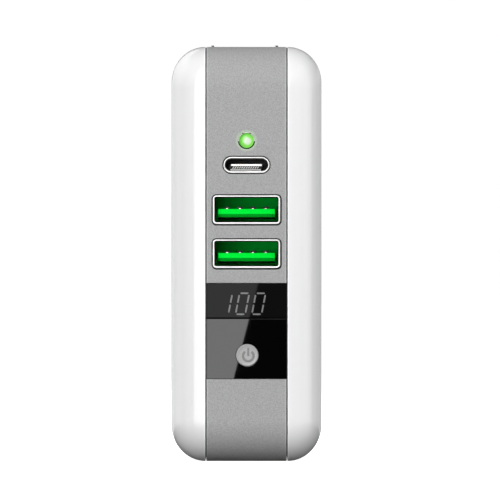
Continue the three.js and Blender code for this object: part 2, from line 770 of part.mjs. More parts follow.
const powerBoard = box(POWER.x0, POWER.x1, POWER.y0, POWER.y1, POWER.z0, POWER.z1);
bank.add(piece("power_board", powerBoard, BOARD_GREEN));
bank.add(piece("transformer_core", transformerCore(), FERRITE));
bank.add(piece("transformer_winding", transformerWinding(), TAPE));
bank.add(piece("mains_capacitor_front", capacitor(4, 50.5, 64.5, -17.9), SLEEVE));
bank.add(piece("mains_capacitor_rear", capacitor(4, 50.5, 64.5, -9.6), SLEEVE));
bank.add(piece("output_capacitor", capacitor(3.15, 9, 18, -8.8), SLEEVE));
bank.add(piece("power_inductor", powerInductor(), FERRITE));
bank.add(piece("heat_spreader", heatSpreader(), ALUMINIUM));
bank.add(piece("board_link_header", boardLink(), SOCKET_BLACK));

bank.add(piece("battery_cell_front", cell(CELL_YS[0]), CELL_WRAP));
bank.add(piece("battery_cell_rear", cell(CELL_YS[1]), CELL_WRAP));
bank.add(piece("cell_strip_top", cellStrip(CELL_TOP + 0.1, CELL_TOP + 0.3), NICKEL));
bank.add(piece("cell_strip_bottom", cellStrip(CELL.base - 0.3, CELL.base - 0.1), NICKEL));
bank.add(
  piece("cell_holder_bottom", cellHolder(2.9, 9, CELL.base - 0.5, 20), HOLDER),
  piece("cell_holder_top", cellHolder(65, 71.4, 50, CELL_TOP + 0.5), HOLDER),
);
bank.add(piece("foam_pad_left", foamPad(-1), FOAM));
bank.add(piece("foam_pad_right", foamPad(1), FOAM));

bank.add(piece("plug_cradle", plugCradle(), WHITE));
bank.add(foldingPlug());
bank.add(piece("plug_contact_left", plugContact(-1), GOLD));
bank.add(piece("plug_contact_right", plugContact(1), GOLD));
bank.add(piece("plug_detent_spring", detentSpring(), NICKEL));

bank.add(piece("mains_lead_left", mainsLead(-1), WIRE_BLUE));
bank.add(piece("mains_lead_right", mainsLead(1), WIRE_BLACK));
bank.add(piece("battery_lead_positive", batteryLead(CELL_TOP + 0.2, 59), WIRE_RED));
bank.add(piece("battery_lead_negative", batteryLead(CELL.base - 0.2, 12), WIRE_BLACK));

export default bank;
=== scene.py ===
import math

import bmesh
import bpy
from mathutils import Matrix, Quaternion, Vector
from mathutils.geometry import tessellate_polygon

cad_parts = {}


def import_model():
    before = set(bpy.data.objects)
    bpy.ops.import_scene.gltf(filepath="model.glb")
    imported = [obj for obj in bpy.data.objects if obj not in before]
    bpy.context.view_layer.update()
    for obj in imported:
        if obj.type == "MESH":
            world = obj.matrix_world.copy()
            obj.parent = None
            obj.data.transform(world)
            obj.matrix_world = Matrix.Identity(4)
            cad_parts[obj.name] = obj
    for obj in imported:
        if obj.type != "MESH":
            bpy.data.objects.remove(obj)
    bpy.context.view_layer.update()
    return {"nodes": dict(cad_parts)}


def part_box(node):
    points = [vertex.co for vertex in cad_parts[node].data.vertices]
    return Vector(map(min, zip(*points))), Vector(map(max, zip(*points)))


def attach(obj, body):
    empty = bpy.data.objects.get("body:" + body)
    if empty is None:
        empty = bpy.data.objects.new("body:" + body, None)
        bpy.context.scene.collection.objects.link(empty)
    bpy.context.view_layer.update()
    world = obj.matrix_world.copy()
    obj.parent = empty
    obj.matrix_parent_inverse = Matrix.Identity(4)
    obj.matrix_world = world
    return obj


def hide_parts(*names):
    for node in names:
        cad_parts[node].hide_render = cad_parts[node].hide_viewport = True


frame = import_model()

MM = 0.001


def node_box(node):
    """The corners of a CAD node's box, in millimetres."""
    low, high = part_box(node)
    return Vector(low) / MM, Vector(high) / MM


# ------------------------------------------------------------------ sizes taken from the frame
LOW, HIGH = node_box("band_frame")
SHELL_LOW, SHELL_HIGH = node_box("right_shell")
WINDOW_LOW, WINDOW_HIGH = node_box("display_window")
CAP_LOW, CAP_HIGH = node_box("power_button_cap")
LENS_LOW, LENS_HIGH = node_box("status_light_pipe")
SOCKET_C_LOW, SOCKET_C_HIGH = node_box("usb_c_shell")
CRADLE_LOW, CRADLE_HIGH = node_box("plug_cradle")

FRONT = LOW.y
BACK = HIGH.y
HEIGHT = HIGH.z
PROFILE_R = 8.2
BAND_HALF = WINDOW_HIGH.x + 0.11  # where the silver band ends
SEAM = SHELL_LOW.x - 0.01  # where the shell starts
ROUND_START = 8.1  # from here outwards the shell is rounded
ROUND_X = SHELL_HIGH.x - ROUND_START
ROUND_YZ = 7.1
STRIP_THICK = 1.4
LIP_THICK = 1.0
SOCKETS_A = ["usb_a_upper", "usb_a_lower"]
SOCKET_GAP = 0.24
SOCKET_SHIFT = 0.04
USB_C_GAP = 0.18
WINDOW_GAP = 0.1
CLEARANCE = 0.3

DISPLAY_BASE_Z = 28.02
BUTTON_Z = (CAP_LOW.z + CAP_HIGH.z) / 2
BUTTON_R = 2.25
CAP_R = 2.18
BUTTON_X = 0.15
STATUS_Z = (LENS_LOW.z + LENS_HIGH.z) / 2
STATUS_R = 1.45

ARC_STEPS = 24
RIM_STEPS = 3


# ------------------------------------------------------------------ materials
NOISE_RANGE = (0.3, 0.7)
BROAD_GRAINS = 12.0


def map_range(tree, source, start, end, low, high, smooth=False):
    """A value that goes from low to high while the source goes from start to end."""
    span = tree.nodes.new("ShaderNodeMapRange")
    span.interpolation_type = "SMOOTHSTEP" if smooth else "LINEAR"
    limits = {"From Min": start, "From Max": end, "To Min": low, "To Max": high}
    for name, value in limits.items():
        span.inputs[name].default_value = value
    tree.links.new(source, span.inputs["Value"])
    return span.outputs["Result"]


class Nodes:
    """Adds and links the shader nodes of a material, which is given itself or by a new name."""

    def __init__(self, material):
        if isinstance(material, str):
            material = bpy.data.materials.new(material)
        self.material = material
        self.material.use_nodes = True
        self.tree = self.material.node_tree
        self.shader = self.tree.nodes["Principled BSDF"]

    def add(self, kind, **settings):
        node = self.tree.nodes.new(kind)
        for key, value in settings.items():
            setattr(node, key, value)
        return node

    def link(self, source, target):
        self.tree.links.new(source, target)

    def noise(self, size, detail=3.0, stretch=(1.0, 1.0, 1.0)):
        """Noise in object space whose grains are about size millimetres."""
        place = self.add("ShaderNodeTexCoord")
        mapping = self.add("ShaderNodeMapping")
        mapping.inputs["Scale"].default_value = stretch
        noise = self.add("ShaderNodeTexNoise")
        noise.inputs["Scale"].default_value = 1.0 / (size * MM)
        noise.inputs["Detail"].default_value = detail
        self.link(place.outputs["Object"], mapping.inputs["Vector"])
        self.link(mapping.outputs["Vector"], noise.inputs["Vector"])
        return noise.outputs["Fac"]

    def spread(self, source, low, high):
        """The noise's usual range, stretched from low to high."""
        return map_range(self.tree, source, *NOISE_RANGE, low, high)

    def tint(self, source, dark, light):
        """A colour that goes from dark to light over the noise's usual range."""
        return self.ramp(source, list(zip(NOISE_RANGE, (dark, light))))

    def ramp(self, source, stops):
        """A colour that follows the source through the stops, each a (position, colour)."""
        ramp = self.add("ShaderNodeValToRGB")
        elements = ramp.color_ramp.elements
        while len(elements) < len(stops):
            elements.new(0.5)
        for element, (position, color) in zip(elements, stops):
            element.position = position
            element.color = (*color, 1.0)
        self.link(source, ramp.inputs["Fac"])
        return ramp.outputs["Color"]

    def from_lens(self, right=0.0, up=0.0, depth=0.0):
        """Distance in millimetres from a point near the lens's middle. Distance along Y counts
        depth times."""
        place = self.add("ShaderNodeTexCoord")
        shift = self.add("ShaderNodeVectorMath", operation="SUBTRACT")
        shift.inputs[1].default_value = (right * MM, FRONT * MM, (STATUS_Z + up) * MM)
        flat = self.add("ShaderNodeVectorMath", operation="MULTIPLY")
        flat.inputs[1].default_value = (1.0 / MM, depth / MM, 1.0 / MM)
        length = self.add("ShaderNodeVectorMath", operation="LENGTH")
        self.link(place.outputs["Object"], shift.inputs[0])
        self.link(shift.outputs["Vector"], flat.inputs[0])
        self.link(flat.outputs["Vector"], length.inputs[0])
        return length.outputs["Value"]

    def painted_edge_highlight(self, inner, outer, gain):
        """Paints a highlight: brightens the colour where the distance from the middle plane, in
        millimetres, lies between inner and outer, each a pair over which it fades."""
        place = self.add("ShaderNodeTexCoord")
        split = self.add("ShaderNodeSeparateXYZ")
        away = self.add("ShaderNodeMath", operation="ABSOLUTE")
        self.link(place.outputs["Object"], split.inputs["Vector"])
        self.link(split.outputs["X"], away.inputs[0])
        rise = self.fade(away.outputs["Value"], inner[0], inner[1], 1.0, gain)
        fall = self.fade(away.outputs["Value"], outer[0], outer[1], 1.0, 1.0 / gain)
        both = self.add("ShaderNodeMath", operation="MULTIPLY")
        self.link(rise, both.inputs[0])
        self.link(fall, both.inputs[1])
        color = self.shader.inputs["Base Color"]
        scaled = self.add("ShaderNodeVectorMath", operation="SCALE")
        self.link(color.links[0].from_socket, scaled.inputs[0])
        self.link(both.outputs["Value"], scaled.inputs["Scale"])
        self.link(scaled.outputs["Vector"], color)

    def fade(self, source, start, end, low, high):
        """A smooth change from low to high while a distance goes from start to end."""
        return map_range(self.tree, source, start * MM, end * MM, low, high, smooth=True)

    def bump(self, source, height):
        """Relief of height millimetres."""
        bump = self.add("ShaderNodeBump")
        bump.inputs["Strength"].default_value = 1.0
        bump.inputs["Distance"].default_value = height * MM
        self.link(source, bump.inputs["Height"])
        self.link(bump.outputs["Normal"], self.shader.inputs["Normal"])


def shade(color, factor):
    """The colour, darker or lighter."""
    return tuple(min(1.0, c * factor) for c in color)


def surface(name, color, rough, metallic=0.0, ior=1.5, grain=0.4, relief=0.002, vary=0.03,
            rough_vary=0.15, stretch=(1.0, 1.0, 1.0)):
    """A finish whose colour and relief vary at the scale of its grain, and whose roughness
    varies more broadly."""
    n = Nodes(name)
    n.shader.inputs["Metallic"].default_value = metallic
    n.shader.inputs["IOR"].default_value = ior
    fine = n.noise(grain, stretch=stretch)
    broad = n.noise(grain * BROAD_GRAINS, detail=2.0)
    color_out = n.tint(fine, shade(color, 1.0 - vary), shade(color, 1.0 + vary))
    n.link(color_out, n.shader.inputs["Base Color"])
    rough_out = n.spread(broad, rough * (1.0 - rough_vary), rough * (1.0 + rough_vary))
    n.link(rough_out, n.shader.inputs["Roughness"])
    if relief:
        n.bump(fine, relief)
    return n.material


WHITE = surface("white_gloss", (0.85, 0.85, 0.855), 0.12, ior=1.5, grain=2.5, relief=0.0006,
                vary=0.004, rough_vary=0.2)
# Painted highlight: the shell's colour is brightened in a thin line along its seam edge.
Nodes(WHITE).painted_edge_highlight((SEAM - 0.1, SEAM), (SEAM + 0.2, SEAM + 0.35), 1.16)
INNER = surface("chassis_plastic", (0.05, 0.05, 0.052), 0.6, grain=0.5)
NICKEL = surface("satin_nickel", (0.78, 0.78, 0.77), 0.5, metallic=1.0, grain=0.25, relief=0.001,
                 vary=0.02)
BLADE = surface("blade_nickel", (0.72, 0.71, 0.69), 0.25, metallic=1.0, grain=0.3, relief=0.001,
                vary=0.03, stretch=(1.0, 0.12, 1.0))
GOLD = surface("gold_flash", (0.86, 0.66, 0.3), 0.25, metallic=1.0, grain=0.3)
DISPLAY_GLASS = surface("display_glass", (0.0045, 0.0045, 0.0045), 0.01, ior=1.19, grain=3.0,
                        relief=0.0, vary=0.05)
PANEL_GLASS = surface("button_panel", (0.0012, 0.0012, 0.0012), 0.008, ior=1.5, grain=3.0,
                      relief=0.0, vary=0.05)
CAP = surface("cap_grey", (0.38, 0.38, 0.38), 0.35, grain=0.3, relief=0.004, vary=0.08)
MARK = surface("cap_mark", (0.2, 0.2, 0.2), 0.5, grain=0.3)
DIGIT = surface("digit_grey", (0.2, 0.2, 0.2), 0.01, ior=1.2, grain=0.3, relief=0.0)
GREEN = surface("socket_green", (0.001, 0.86, 0.045), 0.5, ior=1.02, grain=0.4, relief=0.002)
DEEP_GREEN = surface("socket_deep_green", (0.0005, 0.6, 0.05), 0.6, ior=1.05, grain=0.4)
# Black for the window's dividing line, and painted shade: the dark collar in the USB-A mouths and
# the painted shadow under their tongues.
SHADE_AND_JOINT_BLACK = surface("painted_shade_and_joint_black", (0.002, 0.002, 0.002), 0.7, ior=1.03, grain=0.4)
# Painted shade: the dark green of the USB-A sockets' inner walls.
SOCKET_PAINTED_SHADE = surface("socket_painted_shade", (0.0006, 0.05, 0.005), 0.6, ior=1.1, grain=0.4)
CONTACT = surface("contact_metal", (0.75, 0.74, 0.71), 0.5, metallic=0.2, grain=0.2)
# Painted reflection: near-white for the floor of the USB-C mouth, in place of the pale reflection
# there.
SILL_PAINTED_REFLECTION = surface("sill_painted_reflection", (0.96, 0.96, 0.95), 0.3, grain=0.2)
BLACK = surface("socket_black", (0.012, 0.012, 0.012), 0.5, grain=0.4)
BOARD = surface("solder_mask", (0.01, 0.11, 0.04), 0.35, grain=0.8, vary=0.1)
CELL = surface("cell_wrap", (0.03, 0.17, 0.47), 0.35, grain=1.0, vary=0.05)
FOAM = surface("foam", (0.025, 0.025, 0.027), 0.95, grain=0.5, relief=0.1, vary=0.3)
HOLDER = surface("holder", (0.045, 0.045, 0.048), 0.6, grain=0.4, relief=0.01)
FERRITE = surface("ferrite", (0.035, 0.032, 0.03), 0.7, grain=0.4, relief=0.02, vary=0.2)
TAPE = surface("polyester_tape", (0.75, 0.46, 0.04), 0.35, grain=1.0)
SLEEVE = surface("capacitor_sleeve", (0.014, 0.023, 0.06), 0.35, grain=1.0)
ALUMINIUM = surface("mill_aluminium", (0.78, 0.79, 0.8), 0.4, metallic=1.0, grain=0.3,
                    stretch=(1.0, 0.1, 1.0))
WIRE_RED = surface("wire_red", (0.48, 0.012, 0.012), 0.45, grain=0.5)
WIRE_BLACK = surface("wire_black", (0.012, 0.012, 0.012), 0.45, grain=0.5)
WIRE_BLUE = surface("wire_blue", (0.023, 0.09, 0.39), 0.45, grain=0.5)


def lens_material():
    """A lit lens: almost white in the middle of its face and green towards its rim."""
    n = Nodes("lens_lit_green")
    scale = n.add("ShaderNodeMath", operation="DIVIDE")
    scale.inputs[1].default_value = STATUS_R
    n.link(n.from_lens(0.18, -0.1), scale.inputs[0])
    glow = n.ramp(scale.outputs["Value"], [
        (0.0, (0.93, 0.92, 0.9)), (0.36, (0.82, 0.93, 0.76)), (0.6, (0.3, 0.86, 0.13)),
        (0.9, (0.2, 0.7, 0.1)), (1.1, (0.12, 0.45, 0.06)),
    ])
    n.shader.inputs["Base Color"].default_value = (0.02, 0.1, 0.01, 1.0)
    n.shader.inputs["Emission Strength"].default_value = 0.85
    n.link(glow, n.shader.inputs["Emission Color"])
    n.link(n.spread(n.noise(0.5), 0.12, 0.2), n.shader.inputs["Roughness"])
    return n.material


LENS = lens_material()


def band_material():
    """Matt silver paint, with a painted highlight along its edges and a painted green glow close
    around the lens.
    """
    material = surface("silver_matte", (0.375, 0.375, 0.377), 0.45, ior=1.06, grain=0.16,
                       relief=0.004, vary=0.22)
    n = Nodes(material)
    # Painted highlight: the band's colour is brightened in a thin line along its edges.
    n.painted_edge_highlight((BAND_HALF - 0.35, BAND_HALF - 0.2), (BAND_HALF, BAND_HALF + 0.2), 1.2)
    # Painted light: the band glows green near the lens, fading with distance, in place of the
    # lens's light on it.
    start, end, strength = STATUS_R + 0.2, STATUS_R + 0.85, 0.24
    glow = map_range(n.tree, n.from_lens(depth=1.0), start, end, strength, 0.0, smooth=True)
    n.link(glow, n.shader.inputs["Emission Strength"])
    n.shader.inputs["Emission Color"].default_value = (0.55, 0.95, 0.4, 1.0)
    return material


SILVER = band_material()
BEZEL = surface("bezel_chrome", (0.62, 0.66, 0.6), 0.3, metallic=0.9, grain=0.3)
# Painted shade: dark green for the lower arc of the lens's ring, standing in for its shaded side.
BEZEL_PAINTED_SHADE = surface("bezel_painted_shade", (0.01, 0.035, 0.008), 0.6, ior=1.15, grain=0.3)


# ------------------------------------------------------------------ mesh building
class Builder:
    """Collects vertices in millimetres and faces, then makes one piece of them."""

    def __init__(self):
        self.points = []
        self.faces = []

    def ring(self, points):
        """Adds the points and gives their numbers."""
        first = len(self.points)
        self.points += [Vector(p) for p in points]
        return list(range(first, len(self.points)))

    def bridge(self, a, b):
        """A closed band of faces between two rings."""
        for i in range(len(a)):
            j = (i + 1) % len(a)
            self.faces.append((a[i], a[j], b[j], b[i]))

    def cap(self, ring):
        """One face across the ring."""
        self.faces.append(tuple(ring))

    def fill(self, border, holes=()):
        """Flat faces inside border and outside the holes."""
        loops = [list(border), *[list(h) for h in holes]]
        flat = [i for loop in loops for i in loop]
        triangles = tessellate_polygon([[self.points[i] for i in loop] for loop in loops])
        for triangle in triangles:
            self.faces.append(tuple(flat[i] for i in triangle))

    def block(self, sections):
        """A closed solid through the sections, each a list of points."""
        rings = [self.ring(points) for points in sections]
        for ring, next_ring in zip(rings, rings[1:]):
            self.bridge(ring, next_ring)
        self.cap(rings[0])
        self.cap(rings[-1])

    def bar(self, profile, x0, x1):
        """The (y, z) profile drawn along X."""
        self.block([[(x, y, z) for y, z in profile] for x in (x0, x1)])

    def piece(self, name, material, body, slot, replaced=(), sharp=40.0, bevel=0.0):
        """Makes the piece, with its edges rounded by bevel."""
        mesh = bpy.data.meshes.new(name)
        bm = bmesh.new()
        verts = [bm.verts.new(p * MM) for p in self.points]
        for face in self.faces:
            loop = [verts[i] for i in face]
            if len(set(loop)) > 2 and not bm.faces.get(loop):
                bm.faces.new(loop)
        bmesh.ops.remove_doubles(bm, verts=bm.verts, dist=1e-8)
        bmesh.ops.recalc_face_normals(bm, faces=bm.faces)
        if bevel:
            round_edges(bm, bevel)
        bm.to_mesh(mesh)
        bm.free()
        finish_piece(name, mesh, material, body, replaced, sharp)


EDGE_ANGLE = math.radians(32)


def round_edges(bm, radius):
    """Rounds every edge that is plainly an edge."""
    edges = [e for e in bm.edges if len(e.link_faces) == 2 and e.calc_face_angle() > EDGE_ANGLE]
    bmesh.ops.bevel(bm, geom=edges, offset=radius * MM, segments=2, affect="EDGES",
                    profile=0.5, clamp_overlap=True)


def finish_piece(name, mesh, material, body, replaced=(), sharp=40.0):
    """Shades the mesh smoothly up to the sharp angle, and puts it in the model."""
    for polygon in mesh.polygons:
        polygon.use_smooth = True
    mesh.set_sharp_from_angle(angle=math.radians(sharp))
    piece = bpy.data.objects.new(name, mesh)
    bpy.context.scene.collection.objects.link(piece)
    piece.data.materials.append(material)
    weighted = piece.modifiers.new("weighted_normals", "WEIGHTED_NORMAL")
    weighted.keep_sharp = True
    weighted.weight = 80
    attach(piece, body)
    if replaced:
        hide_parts(*replaced)


def quarter(steps, start=0.0, end=90.0):
    """Angles in radians from start to end degrees."""
    return [math.radians(start + (end - start) * i / steps) for i in range(steps + 1)]


# ------------------------------------------------------------------ the band's side profile
CORNERS = [
    (FRONT + PROFILE_R, HEIGHT - PROFILE_R),
    (BACK - PROFILE_R, HEIGHT - PROFILE_R),
    (BACK - PROFILE_R, PROFILE_R),
    (FRONT + PROFILE_R, PROFILE_R),
]
FLATS = [HEIGHT - 2 * PROFILE_R, BACK - FRONT - 2 * PROFILE_R] * 2
ARC = math.pi * PROFILE_R / 2
AROUND = sum(FLATS) + 4 * ARC


def on_profile(s, out=0.0):
    """(y, z) at arc length s, which starts at the front's lower corner and runs up, over the
    top, down the back and along the base; out moves the point outwards."""
    s %= AROUND
    for side, flat in enumerate(FLATS):
        facing = math.pi - side * math.pi / 2
        start, end = CORNERS[side - 1], CORNERS[side]
        if s <= flat:
            share = s / flat
            y = start[0] + (end[0] - start[0]) * share
            z = start[1] + (end[1] - start[1]) * share
            break
        s -= flat
        if s <= ARC:
            y, z = end
            facing -= s / PROFILE_R
            break
        s -= ARC
    reach = PROFILE_R + out
    return y + reach * math.cos(facing), z + reach * math.sin(facing)


def stations(s0, s1, extra=()):
    """Arc lengths from s0 to s1 that follow every corner closely."""
    found = {s0, s1, *extra}
    start = 0.0
    for flat in FLATS * 2:
        start += flat
        found |= {start + ARC * i / ARC_STEPS for i in range(ARC_STEPS + 1)}
        start += ARC
    return sorted(s for s in found if s0 <= s <= s1)


def front_s(z):
    """The arc length of height z on the flat front."""
    return z - PROFILE_R


def top_s(y):
    """The arc length of depth y on the flat top."""
    return FLATS[0] + ARC + (y - CORNERS[0][0])


def rounded(half_x, half_z, radius, z, x=0.0, steps=8):
    """A rounded rectangle on the front as a function of how far it is grown."""

    def outline(grow=0.0):
        r = max(radius + grow, 0.02)
        hx, hz = half_x + grow - r, half_z + grow - r
        points = []
        for corner, (sx, sz) in enumerate([(1, 1), (-1, 1), (-1, -1), (1, -1)]):
            for a in quarter(steps, corner * 90.0, corner * 90.0 + 90.0):
                points.append((sx * hx + r * math.cos(a) + x, z + sz * hz + r * math.sin(a)))
        return points

    return outline


def strip(b, s0, s1, half, level, thick, rim, holes=(), hole_rim=0.1, flat=None):
    """A strip that follows the profile from s0 to s1, between x = -half and half. level is its
    outer face, measured outwards from the profile. Its edges are rounded by rim and those of
    its holes by hole_rim. flat is the straight stretch (s, s) that holds the holes."""
    line = stations(s0 + rim, s1 - rim, flat or ())
    last = len(line) - 1
    steps = [(rim * math.sin(a), rim * (1 - math.cos(a))) for a in quarter(RIM_STEPS)]
    steps.append((rim, thick))

    def side(sign, grow, depth):
        points = []
        for k, s in enumerate(line):
            shift = -grow if k == 0 else grow if k == last else 0.0
            y, z = on_profile(s + shift, level - depth)
            points.append((sign * (half - rim + grow), y, z))
        return b.ring(points)

    sides = [(side(-1, grow, depth), side(1, grow, depth)) for grow, depth in steps]
    for (left, right), (next_left, next_right) in zip(sides, sides[1:]):
        b.bridge(left + right[::-1], next_left + next_right[::-1])
    turns = [(hole_rim * (1 - math.sin(a)), hole_rim * (1 - math.cos(a)))
             for a in quarter(RIM_STEPS)]
    turns.append((0.0, thick))
    bores = []
    for hole in holes:
        rings = [b.ring([(x, *on_profile(front_s(z), level - depth)) for x, z in hole(grow)])
                 for grow, depth in turns]
        for ring, next_ring in zip(rings, rings[1:]):
            b.bridge(ring, next_ring)
        bores.append(rings)
    first, final = (line.index(s) for s in flat or (line[0], line[0]))
    for face in (0, -1):
        left, right = sides[face]
        for k in range(last):
            if not first <= k < final:
                b.faces.append((left[k], left[k + 1], right[k + 1], right[k]))
        if flat:
            border = left[first:final + 1] + right[first:final + 1][::-1]
            b.fill(border, [rings[face] for rings in bores])


# ------------------------------------------------------------------ casing
def side_shell(name, node, side):
    """A shell as rings around X, from its flat outer face to the seam and back inside."""
    corner_angles = quarter(ARC_STEPS)
    seam_round = 0.05
    wall = 1.8
    lap, lap_end = 1.1, 9.9
    face_margin = 0.8
    rings = [(SHELL_HIGH.x, ROUND_YZ + face_margin)]
    start = math.degrees(math.asin((SEAM - ROUND_START + seam_round) / ROUND_X))
    for a in quarter(36, 90.0, start):
        rings.append((ROUND_START + ROUND_X * math.sin(a), ROUND_YZ * (1 - math.cos(a))))
    edge = rings[-1][1]
    for a in quarter(5)[1:]:
        rings.append((SEAM + seam_round * (1 - math.sin(a)), edge + seam_round * (1 - math.cos(a))))
    rings += [(SEAM, lap), (lap_end, lap), (lap_end, wall)]
    inner_x, inner_yz = ROUND_X - wall, ROUND_YZ - wall
    inside = math.degrees(math.asin((lap_end - ROUND_START) / inner_x))
    for a in quarter(10, inside, 90.0)[1:]:
        rings.append((ROUND_START + inner_x * math.sin(a), wall + inner_yz * (1 - math.cos(a))))

    b = Builder()
    made = []
    for x, inset in rings:
        points = []
        reach = PROFILE_R - inset
        for corner, (y, z) in enumerate(CORNERS):
            facing = math.pi - corner * math.pi / 2
            for a in corner_angles:
                turn = facing - a
                points.append((side * x, y + reach * math.cos(turn), z + reach * math.sin(turn)))
        made.append(b.ring(points))
    b.cap(made[0])
    for ring, next_ring in zip(made, made[1:]):
        b.bridge(ring, next_ring)
    b.cap(made[-1])
    b.piece(name, WHITE, "housing", "white_gloss", (node,), sharp=50.0)


side_shell("shell_left", "left_shell", -1)
side_shell("shell_right", "right_shell", 1)


def socket_centre(prefix):
    """The height of a socket's middle, half its width and half its height."""
    low, high = node_box(prefix + "_shell")
    return (low.z + high.z) / 2, (high.x - low.x) / 2, (high.z - low.z) / 2


def socket_outline(prefix, grow=0.0, shift=0.0):
    """The socket's outline, grown, and moved to the right and down by shift."""
    z, half_x, half_z = socket_centre(prefix)
    radius = half_z - 0.01 if prefix == "usb_c" else 0.75
    return rounded(half_x + grow, half_z + grow, radius + grow, z - shift, shift, steps=12)


def circle(radius, z, x=0.0, steps=48):
    """A round hole on the front as a function of how far it is grown."""

    def outline(grow=0.0):
        r = radius + grow
        turn = [2 * math.pi * i / steps for i in range(steps)]
        return [(r * math.cos(a) + x, z + r * math.sin(a)) for a in turn]

    return outline


FRONT_HOLES = [socket_outline(p, SOCKET_GAP, SOCKET_SHIFT) for p in SOCKETS_A]
FRONT_HOLES += [socket_outline("usb_c", USB_C_GAP), circle(STATUS_R + SOCKET_GAP, STATUS_Z)]
FLAT_FRONT_END = front_s(HEIGHT - PROFILE_R)


def band():
    """The silver band in two lengths, either side of the window and the plug's cradle, on the
    lip that the shells lap over."""
    b = Builder()
    rim = 0.07
    above = front_s(WINDOW_HIGH.z + WINDOW_GAP)
    below = front_s(WINDOW_LOW.z - WINDOW_GAP)
    cradle_front = top_s(CRADLE_LOW.y - CLEARANCE)
    cradle_back = top_s(CRADLE_HIGH.y + CLEARANCE)
    flat = (above + rim, FLAT_FRONT_END)
    strip(b, above, cradle_front, BAND_HALF, 0.0, STRIP_THICK, rim, FRONT_HOLES, flat=flat)
    strip(b, cradle_back, AROUND + below, BAND_HALF, 0.0, STRIP_THICK, rim)
    b.piece("band_silver", SILVER, "housing", "silver_matte", ("band_frame",), sharp=12)


band()


def lip():
    """The dark lip behind the band, with openings for what stands in the front."""
    b = Builder()
    half, rim, fit = 9.6, 0.05, 0.03
    flange = 1.1
    display = rounded(6.9, 2.85, 0.3, (WINDOW_HIGH.z + DISPLAY_BASE_Z) / 2)
    holes = [socket_outline(p, fit) for p in [*SOCKETS_A, "usb_c"]]
    holes += [circle(STATUS_R + fit, STATUS_Z), display, circle(BUTTON_R + CLEARANCE, BUTTON_Z)]
    level = -STRIP_THICK - 0.02
    low = 0.02
    cradle_front = top_s(CRADLE_LOW.y + flange - CLEARANCE)
    cradle_back = top_s(CRADLE_HIGH.y - flange + CLEARANCE)
    strip(b, low, cradle_front, half, level, LIP_THICK, rim, holes,
          flat=(low + rim, FLAT_FRONT_END))
    strip(b, cradle_back, AROUND + low, half, level, LIP_THICK, rim)
    b.piece("band_lip", INNER, "housing", "silver_matte", ("band_frame",))


lip()


def seam_fill():
    """Dark gaskets in the seams, from the front's upper corner over the top and down the back.
    Along the base they fill a quarter of the seam and lie deep in the rest."""
    shallow, edge, deep, inner = -0.16, -0.1, -1.05, -1.35
    base = FLATS[0] + ARC + FLATS[1] + ARC + FLATS[2]
    for name, side in (("seam_gasket_left", -1), ("seam_gasket_right", 1)):
        b = Builder()
        near, far = side * (BAND_HALF + 0.02), side * (SEAM - 0.02)
        middle = near + (far - near) / 4
        sections = [
            (FLATS[0], base, [(near, shallow), (far, shallow), (far, inner), (near, inner)]),
            (base + 0.1, AROUND - ARC / 2, [(near, edge), (middle, edge), (middle, deep),
                                            (far, deep), (far, inner), (near, inner)]),
        ]
        for start, end, section in sections:
            b.block([[(x, *on_profile(s, level)) for x, level in section]
                     for s in stations(start, end)])
        b.piece(name, INNER, "housing", "silver_matte")


seam_fill()


def window():
    """Two polished plates, the display's above and the button's below, and what shows in the
    narrow line between them."""
    half = BAND_HALF
    level = WINDOW_LOW.y - FRONT
    thick = WINDOW_HIGH.y - WINDOW_LOW.y
    rim = 0.02
    line, fit = 0.3, 0.01
    upper = Builder()
    top, middle = front_s(WINDOW_HIGH.z), front_s(DISPLAY_BASE_Z)
    strip(upper, middle + line, top, half, -level, thick, rim)
    upper.piece("window_display", DISPLAY_GLASS, "housing", "smoked_window", ("display_window",),
                sharp=12)
    lower = Builder()
    base = front_s(WINDOW_LOW.z)
    holes = [circle(CAP_R + 0.07, BUTTON_Z, BUTTON_X, steps=72)]
    strip(lower, base, middle, half, -level, thick, rim, holes, hole_rim=0.03,
          flat=(base + rim, middle - rim))
    lower.piece("window_button_panel", PANEL_GLASS, "housing", "smoked_window",
                ("display_window",), sharp=12)
    divider = Builder()
    behind = WINDOW_LOW.y + 0.1
    foot, head = DISPLAY_BASE_Z + fit, DISPLAY_BASE_Z + line - fit
    divider.bar([(behind, foot), (behind, head), (WINDOW_HIGH.y, head), (WINDOW_HIGH.y, foot)],
                -half, half)
    divider.piece("window_divider", SHADE_AND_JOINT_BLACK, "housing", "smoked_window")


window()

# ------------------------------------------------------------------ the number on the display
DIGIT_HEIGHT = 4.12
DIGIT_WIDTH = 1.9
DIGIT_PITCH = 3.2
DIGIT_STROKE = 0.31
DIGIT_SLANT = math.tan(math.radians(11.0))
DIGIT_Z = 31.02
SEGMENT_GAP = 0.16
MIDDLE_DIGIT_X = -0.8
ONE_SHIFT = -0.12


def stroke(b, start, end, y0, y1):
    """A straight stroke with round ends, from start to end (x, z)."""
    a, c = Vector(start), Vector(end)
    along = (c - a).normalized()
    across = Vector((-along.y, along.x))
    radius = DIGIT_STROKE / 2
    a, c = a + along * radius, c - along * radius
    points = []
    for angle in quarter(6, -90.0, 90.0):
        points.append(c + along * radius * math.cos(angle) + across * radius * math.sin(angle))
    for angle in quarter(6, 90.0, 270.0):
        points.append(a + along * radius * math.cos(angle) + across * radius * math.sin(angle))
    front = b.ring([(p.x, y0, p.y) for p in points])
    back = b.ring([(p.x, y1, p.y) for p in points])
    b.bridge(front, back)
    b.cap(front)
    b.cap(back)


